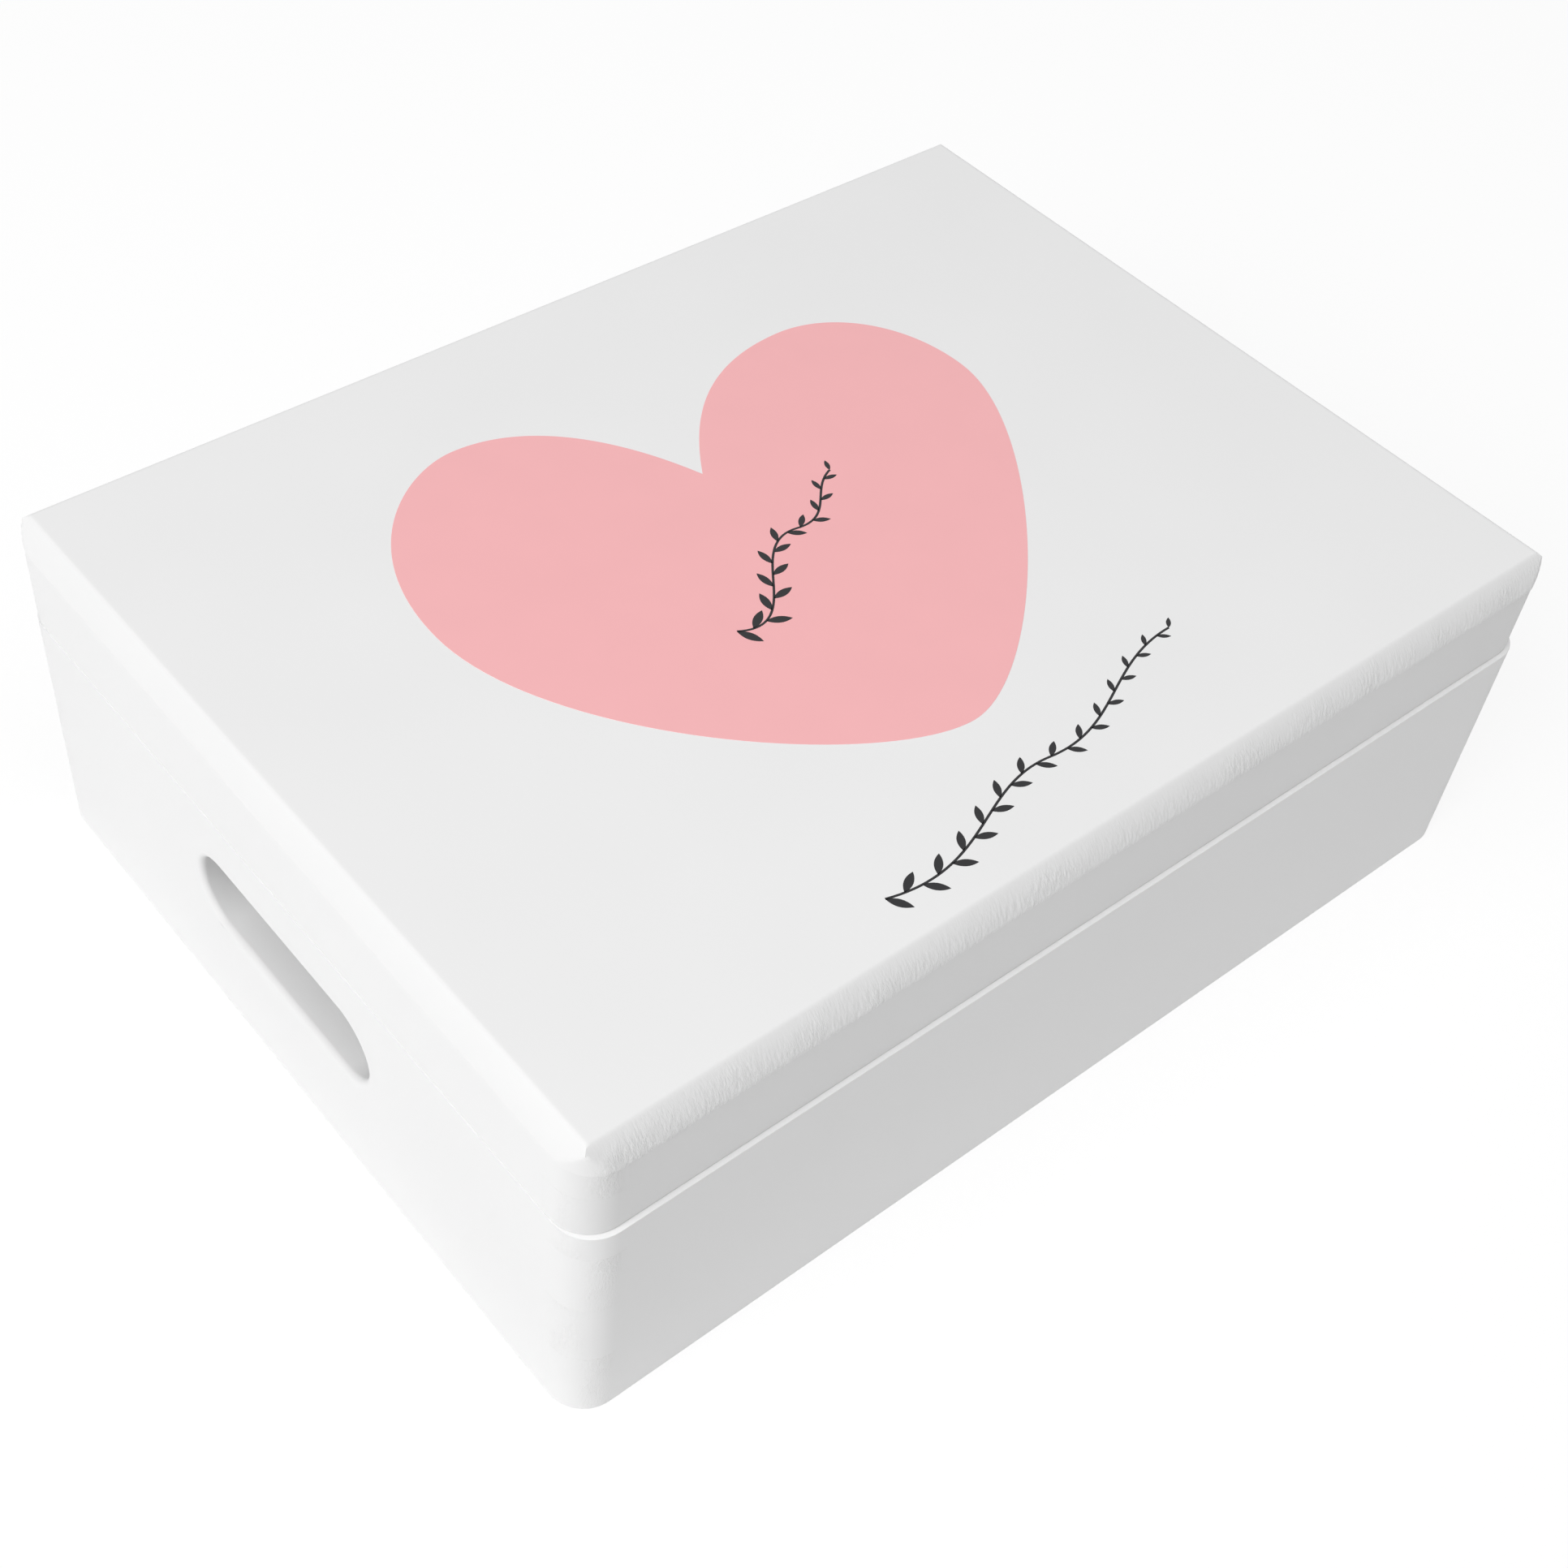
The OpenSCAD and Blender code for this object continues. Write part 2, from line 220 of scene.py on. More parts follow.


# %% [markdown]
# ## Floor, air and light
#
# The box stands in a white studio. The ceiling glows most straight overhead and fades towards
# the horizon. One large window far to the left lights the left end, a small soft lamp high in
# front fills the rounded front edge, and the white floor sends light back up the box's sides,
# helped by a strip of floor at its foot that glows as a hidden light. Rays from the camera and
# rays in a mirror see plain white instead, so the background is white with no more light on
# the box.

# %% Studio
SKY_LIGHT = 0.645
FLOOR_GREY = 0.86
FLOOR_LIFT = 0.78
FLOOR_SEEN = 1.06
FLOOR_GLOW = 0.09
FLOOR_HALF = 9.0
GLOW_REACH = (0.01, 0.055)
LAMPS = {
    "window": {"place": (-2.5, -0.3, 2.2), "side": 2.0, "watts": 65.5},
    "front_lamp": {"place": (0.2, -0.7, 1.7), "side": 1.0, "watts": 4.4}}
LAMP_AIM = Vector((0, 0, 0.06))


def seen_directly(tree):
    """1 for rays from the camera, a mirror or through glass, 0 for light on its way"""
    path = add(tree, "ShaderNodeLightPath").outputs
    either = maths(tree, "MAXIMUM", path["Is Camera Ray"], path["Is Glossy Ray"])
    return maths(tree, "MAXIMUM", either, path["Is Transmission Ray"])


def make_air():
    """The room: white to the eye, and a ceiling that is brightest overhead for the box"""
    world = bpy.data.worlds.new("studio_air")
    world.use_nodes = True
    tree = world.node_tree
    tree.nodes.clear()
    way = split(tree, add(tree, "ShaderNodeTexCoord").outputs["Generated"])
    light = add(tree, "ShaderNodeBackground", {
        "Color": grey(1), "Strength": remap(tree, way["Z"], to=(0.0, SKY_LIGHT))})
    white = add(tree, "ShaderNodeBackground", {"Color": grey(1), "Strength": 1.0})
    mix = mix_shaders(tree, seen_directly(tree), light, white)
    add(tree, "ShaderNodeOutputWorld", {"Surface": mix.outputs[0]})
    scene.world = world


def glow_share(tree):
    """1 on the floor at the foot of the box, fading to 0 a few fingers away"""
    place = add(tree, "ShaderNodeTexCoord").outputs["Object"]
    past = vector_maths(tree, "SUBTRACT", vector_maths(tree, "ABSOLUTE", place),
                        (box_w / 2, box_d / 2, 0))
    far = vector_maths(tree, "LENGTH", vector_maths(tree, "MAXIMUM", past, (0, 0, 0)))
    return remap(tree, far, GLOW_REACH, (1.0, 0.0), "SMOOTHSTEP")


def make_floor():
    """A wide pale floor that keeps a soft shadow, with a strip at the box's foot that glows as a
    hidden light
    """
    mesh = bpy.data.meshes.new("floor")
    corners = ((-1, -1), (1, -1), (1, 1), (-1, 1))
    mesh.from_pydata([(x * FLOOR_HALF, y * FLOOR_HALF, 0) for x, y in corners], [],
                     [(0, 1, 2, 3)])
    material, tree = new_material("studio_floor")
    direct = seen_directly(tree)
    unseen = maths(tree, "SUBTRACT", 1.0, direct)
    # Unseen by the camera, the floor at the foot of the box glows a little and lights its lower
    # sides in place of bounce light.
    glow_power = maths(tree, "MULTIPLY", maths(tree, "MULTIPLY", unseen, glow_share(tree)),
                  FLOOR_GLOW)
    matt = add(tree, "ShaderNodeBsdfDiffuse", {"Color": grey(FLOOR_GREY)})
    foot_glow = add(tree, "ShaderNodeEmission", {"Color": grey(1), "Strength": glow_power})
    lit = add(tree, "ShaderNodeAddShader", {0: matt.outputs[0], 1: foot_glow.outputs[0]})
    white = add(tree, "ShaderNodeEmission", {"Color": grey(1), "Strength": FLOOR_SEEN})
    lift = maths(tree, "MULTIPLY", direct, FLOOR_LIFT)
    finish_material(tree, mix_shaders(tree, lift, lit, white))
    mesh.materials.append(material)
    linked("floor", mesh)


def make_lamp(name, place, side, watts):
    """A large soft square light that looks at the box"""
    data = bpy.data.lights.new(name, "AREA")
    data.shape = "SQUARE"
    data.size = side
    data.energy = watts
    way = LAMP_AIM - Vector(place)
    turned = way.to_track_quat("-Z", "Y").to_matrix().to_4x4()
    linked(name, data).matrix_world = Matrix.Translation(place) @ turned


scene.view_settings.view_transform = "Standard"
make_air()
make_floor()
for name, facts in LAMPS.items():
    make_lamp(name, **facts)
print("studio: sky", SKY_LIGHT, "and lamps", ", ".join(LAMPS))

# %% [markdown]
# ## White paint on pine
#
# Paint hides the wood's colour but not its grain. Along a board the grain is a whisper of
# long shallow lines; where a board's end shows, the cut fibres drink the paint and stay rough.
# One solid texture does both: noise that is stretched along the board's grain shows as long
# streaks on its faces and as fine upright pits on its ends. How far a point faces along the
# grain decides how deep the pits are, and a second, broader noise makes some stretches of an
# end rough and others nearly smooth. On the walls the pits stay close to the upright corners,
# where the sander bit deepest. Broad soft patches change the paint's tone very slightly. Two
# marks are painted shade: rounded edges are painted a little greyer, and the lid's rails are
# painted darker where they face the front.

# %% Paint
PAINT_WHITE = 0.905
PAINT_SHADE = 0.875
PAINT_GLOSS = (0.46, 0.60)
RAIL_PAINTED_SHADE = 0.95
ROUND_EDGE_PAINTED_SHADE = 0.045
GRAIN_AXES = {"x": Vector((1, 0, 0)), "y": Vector((0, 1, 0))}
GRAIN_STRETCH = 22.0
END_FACING = (0.55, 0.97)
PAINT_RELIEF = 0.60 * MM
FACE_RELIEF = 0.03
PORES_PER_M = 1250
PORE_UPRIGHT = 0.4
PORE_ROUGHNESS = 0.62
ROUGH_PER_M = 70
ROUGH_SPREAD, ROUGH_SHARES = (0.38, 0.62), (0.25, 1.0)
ROLLER_PER_M = 420
ROLLER_RELIEF = 0.03
PATCHES_PER_M = 16
CORNER_X, CORNER_Y, CORNER_FADE = 185 * MM, 136 * MM, 4 * MM
CORNER_SHARES = (0.08, 1.0)
PORE_TONE, PORE_SHARE = 0.62, 0.06


def end_grain_share(tree, coordinates, grain):
    """How far a point of the surface faces along the grain, from 0 on a face to 1 on an end"""
    along = vector_maths(tree, "DOT_PRODUCT", coordinates["Normal"], GRAIN_AXES[grain])
    return remap(tree, maths(tree, "ABSOLUTE", along), END_FACING, kind="SMOOTHSTEP")


def corner_share(tree, coordinates):
    """1 close to the upright corners, where the sander bit deeper, and little elsewhere"""
    place = split(tree, vector_maths(tree, "ABSOLUTE", coordinates["Object"]))
    near = [remap(tree, place[axis], (start, start + CORNER_FADE), kind="SMOOTHSTEP")
            for axis, start in (("X", CORNER_X), ("Y", CORNER_Y))]
    return remap(tree, maths(tree, "MULTIPLY", *near), to=CORNER_SHARES)


def paint_relief(tree, coordinates, grain, everywhere=True):
    """Height of the painted surface, its share of end grain and the pores, from 0 to 1"""
    squeeze = [1.0, 1.0, PORE_UPRIGHT]
    squeeze["xyz".index(grain)] = 1 / GRAIN_STRETCH
    along = add(tree, "ShaderNodeMapping", {"Vector": coordinates["Object"],
                                            "Scale": squeeze})
    pores = speckle(tree, along.outputs[0], PORES_PER_M, 3.0, PORE_ROUGHNESS)
    rough = speckle(tree, coordinates["Object"], ROUGH_PER_M, 1.0)
    ends = maths(tree, "MULTIPLY", end_grain_share(tree, coordinates, grain),
                 remap(tree, rough, ROUGH_SPREAD, ROUGH_SHARES))
    if not everywhere:
        ends = maths(tree, "MULTIPLY", ends, corner_share(tree, coordinates))
    deep = maths(tree, "MULTIPLY", pores, remap(tree, ends, to=(FACE_RELIEF, 1.0)))
    roller = speckle(tree, coordinates["Object"], ROLLER_PER_M)
    fine = maths(tree, "MULTIPLY", roller, ROLLER_RELIEF)
    return maths(tree, "ADD", deep, fine), ends, pores


def front_share(tree, coordinates):
    """How far a point of the surface faces the front, from 0 to 1; the mask of the rails'
    painted shade
    """
    forward = vector_maths(tree, "DOT_PRODUCT", coordinates["Normal"], (0, -1, 0))
    return remap(tree, forward, kind="SMOOTHSTEP")


def round_share(tree, coordinates):
    """1 where the surface leans halfway between flat and upright, as on a rounded top edge; the
    mask of the painted shade there
    """
    up = maths(tree, "POWER", split(tree, coordinates["Normal"])["Z"], 2.0)
    both = maths(tree, "MULTIPLY", up, maths(tree, "SUBTRACT", 1.0, up))
    return maths(tree, "MULTIPLY", both, 4.0)


def make_paint(name, grain, relief=PAINT_RELIEF, everywhere=False, painted_front_shade=1.0):
    """White satin paint on a board whose grain runs along one axis; a shade below 1 darkens the
    faces towards the front as painted shade
    """
    material, tree = new_material(name)
    coordinates = add(tree, "ShaderNodeTexCoord").outputs
    height, ends, pores = paint_relief(tree, coordinates, grain, everywhere)
    bump = add(tree, "ShaderNodeBump", {"Height": height, "Distance": relief, "Strength": 0.8})
    patches = speckle(tree, coordinates["Object"], PATCHES_PER_M, 1.0)
    tone = blend(tree, patches, grey(PAINT_SHADE), grey(PAINT_WHITE))
    # Towards the front the patches give way to one even tone, darkened on the lid's rails as
    # painted shade.
    tone = blend(tree, front_share(tree, coordinates), tone,
                 grey(painted_front_shade * (PAINT_SHADE + PAINT_WHITE) / 2))
    # Rounded edges are painted a little greyer: painted shade that tones down the light they
    # catch.
    round_edge_shade = maths(tree, "MULTIPLY", round_share(tree, coordinates), ROUND_EDGE_PAINTED_SHADE)
    tone = blend(tree, round_edge_shade, tone, grey(0.0))
    drunk = maths(tree, "MULTIPLY", maths(tree, "MULTIPLY", ends, pores), PORE_SHARE)
    tone = blend(tree, drunk, tone, grey(PORE_TONE))
    finish_material(tree, add(tree, "ShaderNodeBsdfPrincipled", {
        "Base Color": tone, "Roughness": remap(tree, patches, to=PAINT_GLOSS),
        "Specular IOR Level": 0.35, "Normal": bump.outputs[0]}))
    return material


paint = {grain: make_paint("white_paint_grain_" + grain, grain) for grain in "xy"}
# The lid's rails get painted shade on their front faces, so they read darker than the box's
# front below them.
front_shaded_rail_paint = {grain: make_paint("white_paint_rail_front_shade_" + grain, grain, painted_front_shade=RAIL_PAINTED_SHADE)
              for grain in "xy"}
print("paints:", ", ".join(m.name for m in [*paint.values(), *front_shaded_rail_paint.values()]))

# %% [markdown]
# ## Soft edges on the boards
#
# The boards were sanded after glue-up, so every open edge is slightly round, while the glued
# seams between two boards are only hairlines under the paint. A bevel on every edge would
# cut a groove along each seam. So each edge is tested first: a point just outside each of
# its two faces is free air on an open edge, and lies inside a neighbour on a glued seam.
# The edges along the saw cut between box and lid came last and were only broken by hand, and
# the rims of the hand slots were rounded for the fingers. The bevel's weight gives each of
# the four kinds its own width. At its two ends the lid comes down to the box, so that the
# gap of the saw cut shows at the front and the back alone.

# %% Edge test and bevel
OPEN_EDGE = 0.55 * MM
SAWN_EDGE = 0.2 * MM
SLOT_EDGE = 2.4 * MM
SLOT_HALF = (48 * MM, 15.5 * MM)
SLOT_HEIGHT = 59 * MM
SEAM_EDGE = 0.03 * MM
BEVEL_STEPS = 4
SAW_MARGIN = 0.02 * MM
TEST_STEP_IN = 0.35 * MM
TEST_STEP_OUT = 0.1 * MM
LEAST_EDGE = 0.9 * MM
FACE_TURN = math.radians(25)
FLAT_TURN = math.radians(0.5)
SHARP_BOARD, SHARP_TOP, SHARP_PIN = (math.radians(turn) for turn in (38, 50, 30))
FLAT_WEIGHT = 90
HAIR = 1e-6
RAY = Vector((0.1234, 0.4567, 0.8811)).normalized()
CLOSED_GAP = 0.27 * MM
CLOSED_WIDTH = 13 * MM
cut_low, cut_high = front_high.z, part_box("lid_front_rail")[0].z


def clean_mesh(node):
    """A merged copy of a CAD node, with its flat faces whole again"""
    shape = bmesh.new()
    shape.from_mesh(frame["nodes"][node].data)
    bmesh.ops.remove_doubles(shape, verts=shape.verts, dist=HAIR)
    bmesh.ops.dissolve_limit(shape, angle_limit=FLAT_TURN, verts=shape.verts,
                             edges=shape.edges)
    shape.normal_update()
    return shape


def inside(tree, point):
    """Is the point inside this closed shape? Counts how often a ray leaves or enters it"""
    count, start = 0, point
    while True:
        hit = tree.ray_cast(start, RAY)
        if hit[0] is None:
            return count % 2 == 1
        count += 1
        start = hit[0] + RAY * HAIR


def is_open(edge, neighbours):
    """Does this edge lie free, or on a seam between two boards?"""
    middle = (edge.verts[0].co + edge.verts[1].co) / 2
    first, second = (face.normal for face in edge.link_faces)
    for out, other in ((first, second), (second, first)):
        test = middle + out * TEST_STEP_OUT - other * TEST_STEP_IN
        if any(inside(tree, test) for tree in neighbours):
            return False
    return True


def at_saw_cut(edge):
    """Does this edge run along the cut between box and lid?"""
    return all(cut_low - SAW_MARGIN < v.co.z < cut_high + SAW_MARGIN for v in edge.verts)


def at_slot(edge):
    """Is this edge part of a hand slot's rim?"""
    return all(abs(v.co.x) > box_w / 2 - wall_t - SAW_MARGIN and abs(v.co.y) < SLOT_HALF[0]
               and abs(v.co.z - SLOT_HEIGHT) < SLOT_HALF[1] for v in edge.verts)


def link_mesh(name, shape, material):
    """A new object from a bmesh, with one material"""
    mesh = bpy.data.meshes.new(name)
    shape.to_mesh(mesh)
    shape.free()
    mesh.materials.append(material)
    return linked(name, mesh)


def bridge(shape, rows):
    """Faces between neighbouring closed rows of points"""
    for lower, upper in zip(rows, rows[1:]):
        for i in range(len(lower)):
            j = (i + 1) % len(lower)
            shape.faces.new((lower[i], lower[j], upper[j], upper[i]))


def settle(piece):
    """Turns what the modifiers make into the piece's own plain mesh"""
    graph = bpy.context.evaluated_depsgraph_get()
    made = bpy.data.meshes.new_from_object(piece.evaluated_get(graph), depsgraph=graph,
                                           preserve_all_data_layers=True)
    piece.modifiers.clear()
    old, name = piece.data, piece.name
    piece.data = made
    made.name = name
    bpy.data.meshes.remove(old)


def even_normals(piece, sharp_from=SHARP_BOARD):
    """Smooth shading that keeps the flat faces flat and the hard edges hard"""
    mesh = piece.data
    mesh.shade_smooth()
    mesh.set_sharp_from_angle(angle=sharp_from)
    weigh = piece.modifiers.new("even", "WEIGHTED_NORMAL")
    weigh.keep_sharp = True
    weigh.weight = FLAT_WEIGHT
    settle(piece)


def close_gap(shape):
    """Brings the lid's lower edge down to the box at the two ends, where no gap shows"""
    for v in shape.verts:
        reach = (abs(v.co.x) - box_w / 2 + CLOSED_WIDTH) / CLOSED_WIDTH
        if reach > 0 and abs(v.co.z - cut_high) < SAW_MARGIN:
            v.co.z -= CLOSED_GAP * min(1.0, reach)


def soft_board(node, material, neighbours, open_edge=OPEN_EDGE, least=LEAST_EDGE):
    """A measured shape with its open edges rounded and its seams left fine"""
    shape = clean_mesh(node)
    close_gap(shape)
    weights = shape.edges.layers.float.new("bevel_weight_edge")
    counts = {"open": 0, "sawn": 0, "slot": 0, "seam": 0}
    for edge in shape.edges:
        if len(edge.link_faces) != 2 or not edge.is_convex or edge.calc_length() < least:
            continue
        if edge.calc_face_angle() < FACE_TURN:
            continue
        kind, width = "open", open_edge
        if not is_open(edge, neighbours):
            kind, width = "seam", SEAM_EDGE
        elif at_saw_cut(edge):
            kind, width = "sawn", min(SAWN_EDGE, open_edge)
        elif at_slot(edge):
            kind, width = "slot", SLOT_EDGE
        edge[weights] = width / SLOT_EDGE
        counts[kind] += 1
    piece = link_mesh(node + "_piece", shape, material)
    bevel = piece.modifiers.new("edges", "BEVEL")
    bevel.limit_method = "WEIGHT"
    bevel.width = SLOT_EDGE
    bevel.segments = BEVEL_STEPS
    bevel.use_clamp_overlap = False
    settle(piece)
    even_normals(piece)
    print(node, counts, len(piece.data.polygons), "faces")
    return piece


# %% [markdown]
# ## The boards of the box and the lid
#
# The grain of the long boards runs along X and that of the end boards along Y. Each piece
# stands for the CAD node of the same board and moves with the same body.

# %% Boards
BOX_BOARDS = {"box_front_wall": "x", "box_back_wall": "x", "box_left_wall": "y",
              "box_right_wall": "y", "box_bottom_panel": "x"}
LID_BOARDS = {"lid_front_rail": "x", "lid_back_rail": "x", "lid_left_rail": "y",
              "lid_right_rail": "y"}


def dress(piece, body, slot, *nodes):
    """Attaches the piece to the body it moves with and hides the nodes it stands for; the slot
    is not used
    """
    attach(piece, body)
    if nodes:
        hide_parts(*nodes)
    return piece


def make_boards():
    """All flat boards, each beside its real neighbours"""
    trees = {}
    for node in [*BOX_BOARDS, *LID_BOARDS, "lid_top_board"]:
        shape = clean_mesh(node)
        trees[node] = BVHTree.FromBMesh(shape)
        shape.free()
    for body, boards, coat in (("box", BOX_BOARDS, paint), ("lid", LID_BOARDS, front_shaded_rail_paint)):
        for node, grain in boards.items():
            neighbours = [tree for name, tree in trees.items() if name != node]
            piece = soft_board(node, coat[grain], neighbours)
            dress(piece, body, "white_paint", node)


make_boards()

# %% [markdown]
# ## The top board
#
# The lid's top is one board with its grain running front to back. Its top edge is rounded, so
# at the front and the back the rounding cuts across the grain, and the cut fibres stand out
# as fine rough streaks that run down the edge and end raggedly just over the rail below. They
# are real relief, so this board is built as rings of points: each ring is the board's
# outline, drawn in and raised along the rounding, and clipped to a rectangle, which gives
# the mitred corners. The points are then pressed in by noise that is long down the edge and
# short along it, most in the lower half of the rounding, and let hang at the foot.

# %% Top board
EDGE_R = 16.4 * MM
EDGE_W = 5.6 * MM
EDGE_DROP = 9.4 * MM
CORNER_R = 13.0 * MM
ARC_STEPS = 19
CREST_BLEND = 0.8 * MM
BLEND_STEPS = 4
STREAK_PITCH = 0.4 * MM
PLAIN_PITCH = 3.0 * MM
CORNER_STEPS = 12
TOP_RELIEF = 0.55 * MM
STREAK_DEPTH = 0.17 * MM
STREAK_WIDTH = 0.62 * MM
STREAK_LENGTH = 2.6 * MM
STREAK_FADE = (0.30, 0.85)
STREAK_MIX = (0.45, 0.9, 0.6)
PATCH_LENGTH = 17.0 * MM
PATCH_LIFT, PATCH_LEAST = 0.9, 0.3
FRINGE_DROP = 0.8 * MM
FRINGE_PROUD = 0.30 * MM
FRINGE_WIDTH = 0.75 * MM
FRINGE_MIX = (0.42, 0.8, 0.5)
UNDERSIDE_INSET = 3.0 * MM


def edge_arc():
    """Centre of the edge's arc, as inset and height, and its slopes at the foot and the crest"""
    chord = math.hypot(EDGE_W, EDGE_DROP)
    slide = math.sqrt(EDGE_R ** 2 - chord ** 2 / 4) / chord
    inset = EDGE_W / 2 + EDGE_DROP * slide
    height = board_high.z - EDGE_DROP / 2 - EDGE_W * slide
    foot = math.asin((board_high.z - EDGE_DROP - height) / EDGE_R)
    crest = math.asin((board_high.z - height) / EDGE_R)
    return inset, height, foot, crest


def edge_rings():
    """Inset, height, slope and share of the fringe of each ring, from below to the flat top"""
    inset, height, foot, crest = edge_arc()
    last = crest - CREST_BLEND / EDGE_R
    low, top = board_low.z, board_high.z
    rings = [(UNDERSIDE_INSET, low, foot, 0.0), (SEAM_EDGE, low, foot, 1.0),
             (0.0, low + SEAM_EDGE, foot, 1.0)]
    for i in range(ARC_STEPS + 1):
        turn = foot + (last - foot) * i / ARC_STEPS
        rings.append((inset - EDGE_R * math.cos(turn), height + EDGE_R * math.sin(turn), turn,
                      0.0))
    start, rise, turn, _ = rings[-1]
    corner = start + (top - rise) * math.tan(turn)
    for i in range(1, BLEND_STEPS + 1):
        t = i / BLEND_STEPS
        run = (1 - t) ** 2 * start + 2 * t * (1 - t) * corner + t * t * (corner + CREST_BLEND)
        climb = rise + (top - rise) * (2 * t * (1 - t) + t * t)
        rings.append((run, climb, turn + (math.pi / 2 - turn) * t, 0.0))
    rings.append((rings[-1][0] + CREST_BLEND, top, math.pi / 2, 0.0))
    return rings


def outline_points():
    """The board's outline with rounded corners, as (x, y, outward x, outward y)"""
    half_x, half_y = half_w - CORNER_R, half_d - CORNER_R
    points = []
    for quarter in range(4):
        start = quarter * math.pi / 2 - math.pi / 2
        sx, sy = ((-1, -1), (1, -1), (1, 1), (-1, 1))[quarter]
        nx, ny = ((1, -1), (1, 1), (-1, 1), (-1, -1))[quarter]
        for i in range(CORNER_STEPS):
            turn = start - math.pi / 2 + math.pi / 2 * i / CORNER_STEPS
            out = (math.cos(turn), math.sin(turn))
            points.append((sx * half_x + CORNER_R * out[0], sy * half_y + CORNER_R * out[1],
                           *out))
        out = Vector((math.cos(start), math.sin(start)))
        a = Vector((sx * half_x, sy * half_y)) + out * CORNER_R
        b = Vector((nx * half_x, ny * half_y)) + out * CORNER_R
        pitch = STREAK_PITCH if quarter % 2 == 0 else PLAIN_PITCH
        count = max(2, round((b - a).length / pitch))
        points += [(*a.lerp(b, i / count), out.x, out.y) for i in range(count)]
    return points


def unit(value):
    """The value, kept between 0 and 1"""
    return min(1.0, max(0.0, value))


def wobble(*place):
    """Smooth noise; the lone numbers given to it only pick a part of the noise"""
    return noise.noise(Vector(place))


def streaks(x, up, side):
    """Depth of the rough end grain at a point along the edge and up it, from 0 to 1"""
    level, long, fine = STREAK_MIX
    long *= wobble(x / STREAK_WIDTH, up / STREAK_LENGTH, 5.3 * side)
    fine *= wobble(2.3 * x / STREAK_WIDTH, 2.6 * up / STREAK_LENGTH, 9.1 * side)
    patch = PATCH_LIFT + wobble(x / PATCH_LENGTH, 3.1 * side, 0.7)
    return unit(level + long + fine) * max(PATCH_LEAST, unit(patch))


def fringe(x, side):
    """How far the ragged fibres hang over the rail at a point along the edge, from 0 to 1"""
    level, wide, fine = FRINGE_MIX
    wide *= wobble(x / FRINGE_WIDTH, 2.7 * side, 0.3)
    fine *= wobble(2.6 * x / FRINGE_WIDTH, 4.9 * side, 1.9)
    return unit(level + wide + fine)


def make_top_board():
    """The top board with its rounded, streaked edge"""
    centre_y = (board_low.y + board_high.y) / 2
    outline, rings = outline_points(), edge_rings()
    low = board_high.z - EDGE_DROP
    foot_slope, top_slope = edge_arc()[2:]
    fade_from, fade_to = STREAK_FADE
    shape = bmesh.new()
    rows = []
    for inset, height, slope, hang in rings:
        row = []
        up = EDGE_R * slope + min(0.0, height - low)
        part = (slope - foot_slope) / (top_slope - foot_slope)
        fade = 1 - unit((part - fade_from) / (fade_to - fade_from))
        for x, y, out_x, out_y in outline:
            px = min(max(x, inset - half_w), half_w - inset)
            py = min(max(y, inset - half_d), half_d - inset)
            side, across = math.copysign(1, y), out_y * out_y
            depth, drop = 0.0, hang * across * FRINGE_DROP * fringe(x, side)
            if across > 0 and inset not in (SEAM_EDGE, UNDERSIDE_INSET):
                proud = FRINGE_PROUD * (1 - unit(part / fade_to))
                depth = across * (STREAK_DEPTH * fade * streaks(x, up, side) - proud)
            px -= depth * out_x * math.cos(slope)
            py -= depth * out_y * math.cos(slope)
            row.append(shape.verts.new((px, py + centre_y,
                                        height - drop - depth * math.sin(slope))))
        rows.append(row)
    bridge(shape, rows)
    shape.faces.new(rows[-1])
    shape.faces.new(list(reversed(rows[0])))
    bmesh.ops.remove_doubles(shape, verts=shape.verts, dist=2 * HAIR)
    bmesh.ops.dissolve_degenerate(shape, dist=HAIR, edges=shape.edges)
    bmesh.ops.triangulate(shape, faces=[f for f in shape.faces if len(f.verts) > 4])
    bmesh.ops.recalc_face_normals(shape, faces=shape.faces)
    rough_paint = make_paint("white_paint_top_board", "y", TOP_RELIEF, True)
    piece = link_mesh("lid_top_board_piece", shape, rough_paint)
    even_normals(piece, SHARP_TOP)
    print("top board:", len(rings), "rings of", len(outline), "points")
    dress(piece, "lid", "white_paint", "lid_top_board")


make_top_board()

# %% [markdown]
# ## The printed heart
#
# A print has no thickness to speak of, so the heart is a film of a few hundredths of a
# millimetre that follows six curves: notch to crown, crown to flank and flank to tip on each
# side. The pink is even, with the faint unevenness of ink on painted wood.

# %% Heart
FILM = 0.07 * MM
PINK = (0.98, 0.50, 0.515, 1)
INK_RELIEF = 0.15 * MM
MOTTLE_PER_M, MOTTLE_SHADE = 55, 0.965
HEART_NOTCH, HEART_TIP = (-8, 42), (-12, -92)
HEART_SIDES = (
    {"out": 1, "handle": (7, 66), "crown": (61, 87), "flank": (104, 37),
     "crown_reach": (34, 24), "flank_reach": (29, 41), "tip_reach": 32},
    {"out": -1, "handle": (-21, 75), "crown": (-69, 97), "flank": (-122, 28),
     "crown_reach": (27, 19), "flank_reach": (46, 55), "tip_reach": 35})
CURVE_STEPS = 40


def curve(a, b, c, d):
    """Points along one curve with two handles, without its last point"""
    a, b, c, d = (Vector(p) for p in (a, b, c, d))
    points = []
    for i in range(CURVE_STEPS):
        t = i / CURVE_STEPS
        u = 1 - t
        points.append(u ** 3 * a + 3 * u * u * t * b + 3 * u * t * t * c + t ** 3 * d)
    return points


